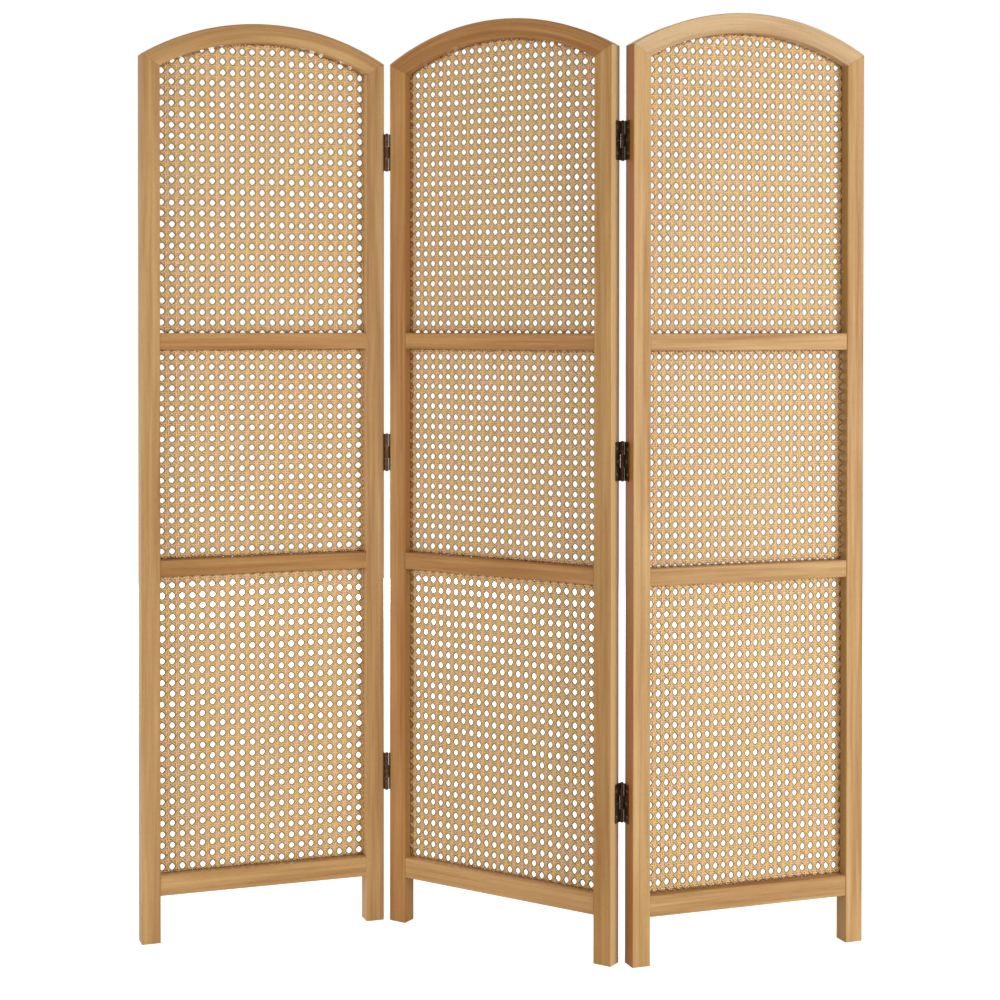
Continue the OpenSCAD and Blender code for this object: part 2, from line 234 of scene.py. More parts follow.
def frame_wood(panel, piece, run, cut):
    """Planed softwood of one piece: bands of sapwood and heartwood, streaks, fibres and
    fine pores. cut is the place in the log that this piece is sawn from."""
    material, tree, shader = finish_material(f"frame_wood_{panel}_{piece}")
    tint, ruddiness = BOARDS.get((panel, piece), (PANEL_TONE_AND_LIGHT[panel], 0.0))
    from_side, deep, along = wood_place(tree, panel, run)
    across = calc(tree, "ADD", from_side, APART_ACROSS * cut)
    deep = calc(tree, "ADD", deep, APART_DEEP * cut)

    def stretched(share):
        """Board places drawn out along the grain: the smaller the share, the longer."""
        return xyz(tree, across, deep, calc(tree, "MULTIPLY", along, share))

    def varied(base, noise, by, low=0.3, high=0.7, clamp=False):
        """A base, and up to by more or less of it where the noise is high or low."""
        sway = spread(tree, noise, low, high, -1, 1)
        return calc(tree, "MULTIPLY_ADD", sway, by, base, clamp=clamp)

    slow = grain_noise(tree, stretched(0.20), scale=11)
    board = grain_noise(tree, stretched(0.035), scale=50, roughness=0.45)
    wander = grain_noise(tree, stretched(0.10), scale=22, detail=1)
    ring = calc(tree, "MULTIPLY", across, BANDS_PER_M)
    ring = calc(tree, "MULTIPLY_ADD", wander, BAND_WANDER, ring)
    band = calc(tree, "SINE", calc(tree, "MULTIPLY", ring, 2 * pi))
    band = calc(tree, "POWER", calc(tree, "MULTIPLY_ADD", band, 0.5, 0.5), BAND_SHARPNESS)
    streak = grain_noise(tree, stretched(0.03), scale=190, detail=4, roughness=0.6)
    fibre = grain_noise(tree, stretched(0.02), scale=900, detail=3, roughness=0.6)
    pore = grain_noise(tree, stretched(0.06), scale=1500, detail=0)
    pore = spread(tree, pore, 0.62, 0.74)

    # dark reddish heartwood runs between lighter golden bands, a little more in some places
    heart = varied(HEART_SHARE + ruddiness, board, BOARD_SWAY, low=0.36, high=0.64)
    heart = varied(heart, slow, SLOW_SWAY)
    heart = calc(tree, "MULTIPLY_ADD", band, BAND_SWAY, heart)
    for middle, reach, change in STRETCHES.get((panel, piece), ()):
        away = calc(tree, "ABSOLUTE", calc(tree, "SUBTRACT", along, middle))
        heart = calc(tree, "ADD", spread(tree, away, 0.0, reach, change, 0.0, ease=True), heart)
    heart = varied(heart, streak, STREAK_SWAY, clamp=True)
    tone = varied(1.0, fibre, FIBRE_SWAY)
    tone = calc(tree, "MULTIPLY_ADD", pore, -PORE_DARKNESS, tone)

    light = tuple(part * share for part, share in zip(SAPWOOD, tint))
    dark = tuple(part * share for part, share in zip(HEARTWOOD, tint))
    colour = blended(tree, heart, light, dark)
    colour = blended(tree, 1.0, colour, xyz(tree, tone, tone, tone), "MULTIPLY")

    # the arrises are darker, and some sides of stiles carry painted light or painted shade
    rounded, flatness = rounded_edges(tree, ARRIS_R)
    arris = spread(tree, flatness, 0.985, 0.8, 0.0, 0.5)
    colour = blended(tree, arris, colour, tuple(ARRIS_SHADE * part for part in dark))
    if (panel, piece) in SIDE_LIGHT_AND_SHADE:
        edge_at, side_light_colour = SIDE_LIGHT_AND_SHADE[panel, piece]
        from_edge = calc(tree, "ABSOLUTE", calc(tree, "SUBTRACT", from_side, edge_at))
        side_light_share = spread(tree, from_edge, SIDE_SHADE_FULL, SIDE_SHADE_END, 0.75, 0.0)
        colour = blended(tree, side_light_share, colour, side_light_colour)

    relief = calc(tree, "MULTIPLY_ADD", pore, -0.6, calc(tree, "ADD", fibre, streak))
    bump = put(tree, "ShaderNodeBump", {
        "Strength": 0.35, "Distance": 0.15 * MM, "Height": relief, "Normal": rounded})
    feed(tree, shader, {
        "Base Color": colour, "Roughness": spread(tree, streak, 0.3, 0.7, 0.46, 0.62),
        "Specular IOR Level": 0.22, "Normal": bump.outputs[0]})
    return material


cut = 0
for panel in PANELS:
    for piece, run in WOOD_RUNS.items():
        cut += 1
        dress(f"{panel}_{piece}", frame_wood(panel, piece, run, cut))


# Dowels: short rods of plain beech, turned and fluted, glued across the joints of the
# rails and the arch. They lie wholly inside the wood.
def dowel_wood():
    material, tree, shader = finish_material("dowel_wood")
    fleck = grain_noise(tree, own_place(tree), scale=420, detail=3, roughness=0.6)
    flecked = spread(tree, fleck, 0.35, 0.65)
    feed(tree, shader, {
        "Base Color": blended(tree, flecked, (0.62, 0.42, 0.24), (0.48, 0.30, 0.16)),
        "Roughness": spread(tree, fleck, 0.3, 0.7, 0.55, 0.7)})
    return material


beech = dowel_wood()
for panel in PANELS:
    dress(f"{panel}_dowels", beech)


# Cane webbing: nine sheets woven from split rattan skin, each laid in the rebate behind
# an opening and held by its beads. Upright and level strands run in close pairs that
# weave through each other, and slanting strands cut the corners, which leaves eight-sided
# holes. The sheets were cut from the roll without matching, so each starts its own way.
OPENING_X = (STILE_W, PANEL_W - STILE_W)
OPENINGS = {
    "bottom": (124 * MM, 675 * MM),
    "middle": (706 * MM, 1093 * MM),
    "top": (1124 * MM, ARCH_MIDDLE[1] + ARCH_INNER_R),
}
TUCK = 7.5 * MM            # how far a sheet reaches under the edges of its opening
CANE_DEPTH = 20 * MM       # middle of the sheet behind the front of the panel
NO_ARCH = 10.0             # a radius that cuts nothing off
# Pitch of the holes across and up, and the first hole's middle from the lower left
# corner of the opening, in mm
WEAVES = {
    ("left", "bottom"): (19.08, 20.13, 6.6, 10.0),
    ("left", "middle"): (19.05, 18.88, 6.5, 13.8),
    ("left", "top"): (19.16, 20.28, 6.6, -1.1),
    ("centre", "bottom"): (16.68, 20.13, 0.8, 9.8),
    ("centre", "middle"): (16.74, 18.89, 16.5, 14.3),
    ("centre", "top"): (16.84, 18.76, -0.2, -0.3),
    ("right", "bottom"): (16.33, 20.0, 8.6, 16.5),
    ("right", "middle"): (16.19, 18.85, 9.6, -1.2),
    ("right", "top"): (16.30, 18.73, 9.9, 0.9),
}
# Strands, where no size is given, in shares of the pitch
PAIR_OFFSET = 0.106        # from the middle of a pair to the middle of its strands
PAIR_WIDTH = 0.248
SLANT_WIDTH = 0.222
PAIR_THICKNESS = 0.7 * MM
SLANT_THICKNESS = 0.6 * MM
PAIR_SWING = 0.27 * MM     # how far strands rise and dip in the weave
SLANT_SWING = 0.55 * MM
LEVEL_NARROWER = 0.92      # level strands of the pairs, beside the upright ones
BOTTOM_STOUTER = 1.08      # all strands of the bottom sheets, beside the others
UNEVENNESS = 0.08          # of a strand's girth along its length
PRESSED = 1.7              # times the girth of strands under the upper edge
PRESSED_FULL = 1.2         # how far down that is full and where it ends, in tucks
PRESSED_END = 1.9
# The weave is laid out in cells, a hole in the middle of each
PAIR_POINTS = 5            # points of a pair's strand in each cell
SLANT_POINTS = 4           # points of a slanting strand in each cell
SPARE_CELLS = 3            # cells laid beyond the size of a sheet, to be cut off
MOST_STRANDS = 100         # more than there are in one direction, so numbers differ
START = -1.0               # cell in which the strands begin
PULL = 0.22                # how far the weave is out of true, in cells
SLIP = 0.05                # how far each strand is out of true on its own
HOLE_SHADE_FULL = 0.325          # from the middle of a hole, where its painted shade, a dark ring, is full
HOLE_SHADE_END = 0.42            # and where it ends, in cells
RAGGEDNESS = 14 * MM       # of the shade that falls in from the edges of the opening
SHADE_REACH = 5 * MM
SHEET_INPUTS = {
    "Pitch": "Vector", "First_hole": "Vector", "Low_corner": "Vector", "High_corner": "Vector",
    "Arch_middle": "Vector", "Arch_radius": "Float", "Tuck": "Float", "Seed": "Int",
}


def sockets(tree, **kinds):
    """Names the inputs of a Geometry Nodes tree and returns their outputs by name."""
    tree.interface.new_socket("Geometry", in_out="OUTPUT", socket_type="NodeSocketGeometry")
    for name, kind in kinds.items():
        tree.interface.new_socket(name, in_out="INPUT", socket_type=f"NodeSocket{kind}")
    entry = tree.nodes.new("NodeGroupInput")
    return {name: entry.outputs[name] for name in kinds}


def close(tree, geometry):
    """Ends a Geometry Nodes tree."""
    put(tree, "NodeGroupOutput", {0: geometry})
    return tree


def placed(name, data):
    """A new object of the scene."""
    item = bpy.data.objects.new(name, data)
    bpy.context.scene.collection.objects.link(item)
    return item


def grown(name, tree, values, start=None):
    """Runs a Geometry Nodes tree and gives its result as a plain mesh."""
    source = placed(name, start or bpy.data.meshes.new(name))
    modifier = source.modifiers.new("grow", "NODES")
    modifier.node_group = tree
    for item in tree.interface.items_tree:
        if item.in_out == "INPUT" and item.name in values:
            modifier[item.identifier] = values[item.name]
    graph = bpy.context.evaluated_depsgraph_get()
    mesh = bpy.data.meshes.new_from_object(
        source.evaluated_get(graph), preserve_all_data_layers=True, depsgraph=graph)
    source.modifiers.remove(modifier)
    bpy.data.objects.remove(source)
    return mesh


def marked(tree, geometry, name, value, kind="FLOAT"):
    """Keeps a value at each point of a geometry, under a name that a material can read."""
    return put(tree, "GeometryNodeStoreNamedAttribute",
               {"Geometry": geometry, "Name": name, "Value": value},
               domain="POINT", data_type=kind).outputs[0]


def marked_vector(tree, name):
    """A vector that was kept under a name."""
    return put(tree, "GeometryNodeInputNamedAttribute", {"Name": name},
               data_type="FLOAT_VECTOR").outputs[0]


def strands_tree():
    """Strands of one direction. They are laid out in cells of the weave: pairs cross at
    whole numbers and holes lie between them. The ends outside the sheet are cut off."""
    tree = bpy.data.node_groups.new("cane_strands", "GeometryNodeTree")
    given = sockets(
        tree, Count="Int", Samples="Int", Origin="Vector", Strand_step="Vector",
        Sample_step="Vector", Weave_axis="Vector", Pair_swing="Float", Slant_swing="Float",
        Width="Float", Thickness="Float", Direction="Int", Lean="Float", **SHEET_INPUTS)
    at = put(tree, "GeometryNodeInputPosition").outputs[0]
    half = (0.5, 0.5, 0.5)
    in_plane = (1, 1, 0)

    def scaled(vector, factor):
        return put(tree, "ShaderNodeVectorMath", {0: vector, "Scale": factor},
                   operation="SCALE").outputs[0]

    line = put(tree, "GeometryNodeMeshLine", {"Count": given["Samples"]}).outputs[0]
    rows = put(tree, "GeometryNodeMeshLine", {"Count": given["Count"]}).outputs[0]
    laid = put(tree, "GeometryNodeInstanceOnPoints", {"Points": rows, "Instance": line}).outputs[0]
    laid = put(tree, "GeometryNodeRealizeInstances", {0: laid}).outputs[0]
    index = put(tree, "GeometryNodeInputIndex").outputs[0]
    strand = calc(tree, "DIVIDE", calc(tree, "ADD", index, 0.5), given["Samples"])
    strand = calc(tree, "FLOOR", strand)
    sample = calc(tree, "SUBTRACT", index, calc(tree, "MULTIPLY", strand, given["Samples"]))
    number = calc(tree, "MULTIPLY_ADD", given["Direction"], MOST_STRANDS, strand)
    even_cell = vector_calc(tree, "ADD", given["Origin"], scaled(given["Strand_step"], strand))
    even_cell = vector_calc(tree, "ADD", even_cell, scaled(given["Sample_step"], sample))

    # pairs weave where they cross, and slants rise over one direction and dip under the other
    turn = vector_calc(tree, "DOT_PRODUCT", even_cell, given["Weave_axis"], out=1)
    turn = calc(tree, "MULTIPLY", turn, 2 * pi)
    crossing = calc(tree, "MULTIPLY_ADD", calc(tree, "COSINE", turn), 0.5, 0.5)
    weaving = calc(tree, "SINE", calc(tree, "MULTIPLY", turn, 2.0))
    weaving = calc(tree, "MULTIPLY", weaving, crossing)
    height = calc(tree, "MULTIPLY", weaving, given["Pair_swing"])
    height = calc(tree, "MULTIPLY_ADD", calc(tree, "COSINE", turn), given["Slant_swing"], height)

    def drift(place, apart, scale, detail, by):
        """A pull to the side, up to half of by each way. apart keeps drifts from being alike."""
        place = vector_calc(tree, "ADD", place, xyz(tree, 0.0, 0.0, apart))
        noise = put(tree, "ShaderNodeTexNoise", {
            "Vector": place, "Scale": scale, "Detail": detail}).outputs["Color"]
        return scaled(vector_calc(tree, "SUBTRACT", noise, half), by)

    # the whole weave is pulled slightly out of true, and each strand a little more
    sheet_apart = calc(tree, "MULTIPLY", given["Seed"], 7.3)
    strand_apart = calc(tree, "MULTIPLY", number, 3.7)
    pull = drift(even_cell, sheet_apart, scale=0.35, detail=1.0, by=PULL)
    slip = drift(scaled(even_cell, 0.8), strand_apart, scale=1.0, detail=0.0, by=SLIP)
    cell = vector_calc(tree, "ADD", vector_calc(tree, "ADD", even_cell, pull), slip)
    flat = vector_calc(tree, "MULTIPLY", vector_calc(tree, "SUBTRACT", cell, half), given["Pitch"])
    flat = vector_calc(tree, "ADD", flat, given["First_hole"])
    flat = vector_calc(tree, "MULTIPLY", flat, in_plane)
    place = vector_calc(tree, "ADD", flat, xyz(tree, 0.0, 0.0, height))
    laid = put(tree, "GeometryNodeSetPosition", {"Geometry": laid, "Position": place}).outputs[0]

    # how far a point lies inside the edges of the sheet
    from_low = vector_calc(tree, "SUBTRACT", at, given["Low_corner"])
    from_left, from_bottom, _ = parted(tree, from_low)
    from_high = vector_calc(tree, "SUBTRACT", given["High_corner"], at)
    from_right, from_top, _ = parted(tree, from_high)
    from_middle = vector_calc(tree, "DISTANCE", vector_calc(tree, "MULTIPLY", at, in_plane),
                              given["Arch_middle"], out=1)
    under_arch = calc(tree, "SUBTRACT", given["Arch_radius"], from_middle)
    to_rail = calc(tree, "MINIMUM", calc(tree, "MINIMUM", from_bottom, from_top), under_arch)
    room = calc(tree, "MINIMUM", calc(tree, "MINIMUM", from_left, from_right), to_rail)

    tone = put(tree, "FunctionNodeRandomValue", {"ID": number, "Seed": given["Seed"]}).outputs[1]
    laid = marked(tree, laid, "strand_tone", tone)
    laid = marked(tree, laid, "strand_run", calc(tree, "MULTIPLY", sample, 1 / PAIR_POINTS))
    laid = marked(tree, laid, "strand_lean", given["Lean"])
    laid = marked(tree, laid, "strand_room", to_rail)
    laid = marked(tree, laid, "weave_cell", even_cell, "FLOAT_VECTOR")
    laid = marked(tree, laid, "strand_middle", at, "FLOAT_VECTOR")
    outside = put(tree, "FunctionNodeCompare", {0: room, 1: 0.0}, operation="LESS_THAN").outputs[0]
    laid = put(tree, "GeometryNodeDeleteGeometry", {0: laid, 1: outside}, domain="POINT").outputs[0]

    # the section of a strand is a lozenge, laid flat in the sheet
    curve = put(tree, "GeometryNodeMeshToCurve", {0: laid}).outputs[0]
    curve = put(tree, "GeometryNodeSetCurveNormal", {0: curve}, mode="Z_UP").outputs[0]
    section = put(tree, "GeometryNodeCurvePrimitiveCircle", {"Resolution": 4, "Radius": 1.0}).outputs[0]
    section = marked(tree, section, "strand_side", parted(tree, at)[0])
    half_size = xyz(tree, calc(tree, "MULTIPLY", given["Width"], 0.5),
                    calc(tree, "MULTIPLY", given["Thickness"], 0.5), 1.0)
    section = put(tree, "GeometryNodeTransform", {"Geometry": section, "Scale": half_size}).outputs[0]

    # strands are uneven, and pressed broad where they go under the upper edge of the opening
    girth = grain_noise(tree, at, scale=60, detail=0)
    girth = spread(tree, girth, 0.2, 0.8, 1 - UNEVENNESS, 1 + UNEVENNESS)
    pressed = spread(tree, from_top, calc(tree, "MULTIPLY", given["Tuck"], PRESSED_FULL),
                     calc(tree, "MULTIPLY", given["Tuck"], PRESSED_END), PRESSED, 1.0)
    girth = calc(tree, "MULTIPLY", girth, pressed)
    solid = put(tree, "GeometryNodeCurveToMesh", {
        "Curve": curve, "Profile Curve": section, "Scale": girth, "Fill Caps": True}).outputs[0]

    # every point of a strand knows its place in the weave, so painted shade can darken its skin round
    # the holes
    beside = vector_calc(tree, "SUBTRACT", at, marked_vector(tree, "strand_middle"))
    beside = vector_calc(tree, "DIVIDE", beside, given["Pitch"])
    cell = vector_calc(tree, "ADD", marked_vector(tree, "weave_cell"), beside)
    solid = marked(tree, solid, "weave_cell", cell, "FLOAT_VECTOR")
    solid = put(tree, "GeometryNodeRemoveAttribute", {
        "Geometry": solid, "Name": "strand_middle"}).outputs[0]
    return close(tree, solid)


def sheet_tree(strands):
    """One sheet of webbing: two upright and two level strands and both slants in each cell."""
    tree = bpy.data.node_groups.new("cane_sheet", "GeometryNodeTree")
    given = sockets(
        tree, Pair_offset="Float", Pair_width="Float", Slant_width="Float",
        Pair_thickness="Float", Slant_thickness="Float", Pair_swing="Float",
        Slant_swing="Float", Material="Material", **SHEET_INPUTS)
    size = vector_calc(tree, "SUBTRACT", given["High_corner"], given["Low_corner"])
    cells = vector_calc(tree, "CEIL", vector_calc(tree, "DIVIDE", size, given["Pitch"]))
    cells_across, cells_up, _ = parted(tree, cells)
    across = calc(tree, "ADD", cells_across, SPARE_CELLS)
    up = calc(tree, "ADD", cells_up, SPARE_CELLS)
    upright = (0, 1, 0)
    level = (1, 0, 0)
    pair_start = START - 0.5 / PAIR_POINTS
    pair_step = 1 / PAIR_POINTS
    slant_step = 1 / SLANT_POINTS
    runs = []
    for side in (-1.0, 1.0):
        beside = calc(tree, "MULTIPLY_ADD", given["Pair_offset"], side, START)
        runs.append({
            "Width": given["Pair_width"], "Thickness": given["Pair_thickness"], "Lean": side,
            "Count": across, "Samples": calc(tree, "MULTIPLY", up, PAIR_POINTS),
            "Origin": xyz(tree, beside, pair_start), "Strand_step": level,
            "Sample_step": (0, pair_step, 0), "Weave_axis": upright,
            "Pair_swing": calc(tree, "MULTIPLY", given["Pair_swing"], side)})
        runs.append({
            "Width": calc(tree, "MULTIPLY", given["Pair_width"], LEVEL_NARROWER),
            "Thickness": given["Pair_thickness"], "Lean": -side,
            "Count": up, "Samples": calc(tree, "MULTIPLY", across, PAIR_POINTS),
            "Origin": xyz(tree, pair_start, beside), "Strand_step": upright,
            "Sample_step": (pair_step, 0, 0), "Weave_axis": level,
            "Pair_swing": calc(tree, "MULTIPLY", given["Pair_swing"], -side)})

        # slants cross the pairs half way between the pairs' own crossings
        slant_start = calc(tree, "ADD", up, START - 0.5) if side < 0 else START + 0.5
        runs.append({
            "Width": given["Slant_width"], "Thickness": given["Slant_thickness"],
            "Count": calc(tree, "ADD", across, up),
            "Samples": calc(tree, "MULTIPLY", across, SLANT_POINTS),
            "Origin": xyz(tree, START, slant_start), "Strand_step": (0, side, 0),
            "Sample_step": (slant_step, -slant_step * side, 0), "Weave_axis": level,
            "Slant_swing": calc(tree, "MULTIPLY", given["Slant_swing"], -side)})
    joined = put(tree, "GeometryNodeJoinGeometry")
    for direction, run in enumerate(runs):
        group = put(tree, "GeometryNodeGroup", node_tree=strands)
        feed(tree, group, {**run, **{name: given[name] for name in SHEET_INPUTS}})
        feed(tree, group, {"Direction": direction})
        tree.links.new(group.outputs[0], joined.inputs[0])
    whole = put(tree, "GeometryNodeRealizeInstances", {0: joined.outputs[0]}).outputs[0]
    whole = put(tree, "GeometryNodeSetShadeSmooth", {0: whole}).outputs[0]
    whole = put(tree, "GeometryNodeSetMaterial", {
        "Geometry": whole, "Material": given["Material"]}).outputs[0]
    return close(tree, whole)


def split_rattan():
    """Skin of split rattan: golden and peach dabs on the pairs, and a darker olive tan on
    the slanting strands. Each strand has its own tone and streaks. They are darker along
    an edge, partly their own colour and partly painted shade, and carry painted shade in a
    ring round each hole and where they enter the rebate."""
    material, tree, shader = finish_material("woven_cane")

    def mark(name, output="Fac"):
        return put(tree, "ShaderNodeAttribute", attribute_name=name).outputs[output]

    def tinged(colour, value, low, high, share, tinge):
        """A colour that takes on another one where a value is high."""
        return blended(tree, spread(tree, value, low, high, 0, share), colour, tinge)

    tone, run, side = mark("strand_tone"), mark("strand_run"), mark("strand_side")
    lean, room = mark("strand_lean"), mark("strand_room")
    slant = calc(tree, "SUBTRACT", 1.0, calc(tree, "ABSOLUTE", lean))
    place = own_place(tree)
    along = xyz(tree, calc(tree, "MULTIPLY", side, 3.0), calc(tree, "MULTIPLY", tone, 91.0),
                calc(tree, "MULTIPLY", run, 0.9))
    streak = grain_noise(tree, along, scale=1.0, roughness=0.6)
    patch = grain_noise(tree, place, scale=9)
    fleck = grain_noise(tree, place, scale=330, detail=1)
    dab = grain_noise(tree, place, scale=75, detail=1)
    dab = spread(tree, dab, 0.36, 0.64, ease=True)
    on_pairs = blended(tree, dab, (0.93, 0.625, 0.235), (0.97, 0.580, 0.370))
    on_slants = blended(tree, tone, (0.66, 0.460, 0.165), (0.80, 0.590, 0.240))
    colour = blended(tree, slant, on_pairs, on_slants)
    colour = tinged(colour, fleck, 0.40, 0.65, 0.35, (0.92, 0.52, 0.29))
    colour = tinged(colour, streak, 0.45, 0.75, 0.32, (0.58, 0.36, 0.14))
    colour = tinged(colour, patch, 0.35, 0.7, 0.2, (0.66, 0.43, 0.20))

    # slanting strands are darker along both edges, those of a pair along the outer one: partly the
    # cane's darker cut edges, partly painted shade
    both_edges = calc(tree, "MULTIPLY_ADD", calc(tree, "ABSOLUTE", side), 0.8, -0.25)
    rim = calc(tree, "MULTIPLY_ADD", both_edges, slant, calc(tree, "MULTIPLY", side, lean))
    colour = tinged(colour, rim, -0.1, 0.7, 0.36, (0.205, 0.165, 0.058))
    # painted shade: a dark ring round each hole, where the strands' edges shade each other
    weave = vector_calc(tree, "FRACTION", mark("weave_cell", "Vector"))
    weave = vector_calc(tree, "SUBTRACT", weave, (0.5, 0.5, 0.0))
    from_hole = vector_calc(tree, "LENGTH", vector_calc(tree, "MULTIPLY", weave, (1, 1, 0)), out=1)
    ring = spread(tree, from_hole, HOLE_SHADE_FULL, HOLE_SHADE_END, 0.75, 0.0)
    colour = blended(tree, ring, colour, (0.215, 0.160, 0.045))
    # painted shade where the edges of the opening shade the sheet, ragged along them
    ragged = calc(tree, "MULTIPLY_ADD", calc(tree, "SUBTRACT", fleck, 0.5), RAGGEDNESS, room)
    shaded = spread(tree, ragged, TUCK, TUCK + SHADE_REACH, 0.9, 0.0, ease=True)
    colour = blended(tree, shaded, colour, (0.21, 0.095, 0.032))
    bump = put(tree, "ShaderNodeBump", {"Strength": 0.3, "Distance": 0.1 * MM, "Height": streak})
    feed(tree, shader, {
        "Base Color": colour, "Roughness": spread(tree, streak, 0.3, 0.7, 0.36, 0.52),
        "Specular IOR Level": 0.4, "Normal": bump.outputs[0]})
    return material


cane_sheet = sheet_tree(strands_tree())
cane = split_rattan()
upright_sheet = Matrix.Translation((0, CANE_DEPTH, 0)) @ Matrix.Rotation(radians(90), 4, "X")
for seed, ((panel, level), weave) in enumerate(WEAVES.items()):
    pitch_x, pitch_z, first_x, first_z = (size * MM for size in weave)
    low_z, high_z = OPENINGS[level]
    stout = (pitch_x + pitch_z) / 2 * (BOTTOM_STOUTER if level == "bottom" else 1.0)
    name = f"{panel}_cane_webbing_{level}"
    mesh = grown(name, cane_sheet, {
        "Pitch": (pitch_x, pitch_z, 1.0),
        "First_hole": (OPENING_X[0] + first_x, low_z + first_z, 0.0),
        "Low_corner": (OPENING_X[0] - TUCK, low_z - TUCK, -1.0),
        "High_corner": (OPENING_X[1] + TUCK, high_z + TUCK, 1.0),
        "Arch_middle": (*ARCH_MIDDLE, 0.0),
        "Arch_radius": ARCH_INNER_R + TUCK if level == "top" else NO_ARCH, "Tuck": TUCK,
        "Pair_offset": PAIR_OFFSET, "Pair_width": PAIR_WIDTH * stout,
        "Slant_width": SLANT_WIDTH * stout,
        "Pair_thickness": PAIR_THICKNESS, "Slant_thickness": SLANT_THICKNESS,
        "Pair_swing": PAIR_SWING, "Slant_swing": SLANT_SWING,
        "Seed": seed, "Material": cane,
    })
    mesh.transform(PANELS[panel] @ upright_sheet)
    sheet = placed(name, mesh)
    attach(sheet, f"{panel}_panel")
    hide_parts(f"{panel}_cane_{level}")


# Butt hinges: three on each joint, folded from steel plate and bronzed. The leaves lie on
# the edges of the stiles, and a pin with rounded ends holds their knuckles together.
def bronzed_steel(name, colour, rubbed, worn):
    """Bronzed steel, rubbed lighter in clouds and worn bare along its edges."""
    material, tree, shader = finish_material(name)
    place = own_place(tree)
    cloud = grain_noise(tree, place, scale=240, detail=3, roughness=0.6)
    speck = grain_noise(tree, place, scale=1600)
    rounded, flatness = rounded_edges(tree, 0.5 * MM)
    shade = blended(tree, spread(tree, cloud, 0.45, 0.75), colour, rubbed)
    shade = blended(tree, spread(tree, flatness, 0.99, 0.8, 0.0, 0.7), shade, worn)
    bump = put(tree, "ShaderNodeBump", {
        "Strength": 0.2, "Distance": 0.05 * MM, "Height": speck, "Normal": rounded})
    feed(tree, shader, {
        "Base Color": shade, "Metallic": 0.6, "Specular IOR Level": 0.3,
        "Roughness": spread(tree, cloud, 0.3, 0.7, 0.34, 0.50), "Normal": bump.outputs[0]})
    return material


hinge_bronze = bronzed_steel(
    "hinge_metal", (0.050, 0.024, 0.010), (0.160, 0.085, 0.034), (0.34, 0.24, 0.13))
for leaf in ("left_leaf", "centre_front_leaf", "centre_back_leaf", "right_leaf"):
    for level in ("low", "mid", "high"):
        dress(f"{leaf}_{level}", hinge_bronze)
for pins in ("front_hinge_pins", "back_hinge_pins"):
    dress(pins, hinge_bronze)


# Hinge screws: bronzed wood screws with flat heads and a cross recess, three to a leaf,
# driven until their heads are flush with it.
LEAF_T = 1.6 * MM
HINGE_ZS = (286 * MM, 896 * MM, 1467 * MM)
# Holes of a leaf: from the face of the panel, and up from the middle of the hinge
SCREW_SPOTS = ((12 * MM, -23 * MM), (8 * MM, 0.0), (12 * MM, 23 * MM))
# Panel, side of the panel (0 left, 1 right), and face that the holes are measured from
# (0 front, 1 back)
SCREW_ROWS = {
    "left_hinge_screws": ("left", 1, 0), "centre_front_screws": ("centre", 0, 0),
    "centre_back_screws": ("centre", 1, 1), "right_hinge_screws": ("right", 0, 1),
}
FIRST_SCREW_SEED = 20


def cross_screws():
    """A screw at each point of Places, its head up, each turned its own way."""
    tree = bpy.data.node_groups.new("hinge_screws", "GeometryNodeTree")
    given = sockets(
        tree, Places="Geometry", Length="Float", Shank_radius="Float", Head_radius="Float",
        Head_height="Float", Recess_width="Float", Recess_length="Float", Recess_depth="Float",
        Seed="Int", Material="Material")

    def raised(body, up):
        return put(tree, "GeometryNodeTransform", {
            "Geometry": body, "Translation": xyz(tree, 0.0, 0.0, up)}).outputs[0]

    def cone(top, bottom, depth, low):
        body = put(tree, "GeometryNodeMeshCone", {
            "Vertices": 24, "Radius Top": top, "Radius Bottom": bottom, "Depth": depth}).outputs[0]
        return raised(body, low)

    shank_r = given["Shank_radius"]
    tip = calc(tree, "MULTIPLY", shank_r, 2.0)
    straight = calc(tree, "SUBTRACT", given["Length"], tip)
    into_head = calc(tree, "MULTIPLY", given["Head_height"], 0.5)
    shank = cone(shank_r, shank_r, calc(tree, "ADD", straight, into_head),
                 calc(tree, "MULTIPLY", straight, -1.0))
    point = cone(shank_r, calc(tree, "MULTIPLY", shank_r, 0.2), tip,
                 calc(tree, "MULTIPLY", given["Length"], -1.0))
    head = cone(given["Head_radius"], shank_r, given["Head_height"], 0.0)
    screw = put(tree, "GeometryNodeMeshBoolean", operation="UNION")
    for part in (shank, point, head):
        tree.links.new(part, screw.inputs["Mesh 2"])
    cut = put(tree, "GeometryNodeMeshBoolean", {"Mesh 1": screw.outputs[0]}, operation="DIFFERENCE")
    bar_height = calc(tree, "MULTIPLY", given["Recess_depth"], 2.0)
    sizes = (given["Recess_length"], given["Recess_width"])
    for across, along in (sizes, sizes[::-1]):
        bar = put(tree, "GeometryNodeMeshCube", {"Size": xyz(tree, across, along, bar_height)})
        tree.links.new(raised(bar.outputs[0], given["Head_height"]), cut.inputs["Mesh 2"])
    turn = put(tree, "FunctionNodeRandomValue", {2: 0.0, 3: pi, "Seed": given["Seed"]}).outputs[1]
    turn = put(tree, "FunctionNodeEulerToRotation", {0: xyz(tree, 0.0, 0.0, turn)}).outputs[0]
    set_in = put(tree, "GeometryNodeInstanceOnPoints", {
        "Points": given["Places"], "Instance": cut.outputs[0], "Rotation": turn}).outputs[0]
    whole = put(tree, "GeometryNodeRealizeInstances", {0: set_in}).outputs[0]
    whole = put(tree, "GeometryNodeSetMaterial", {
        "Geometry": whole, "Material": given["Material"]}).outputs[0]
    return close(tree, whole)


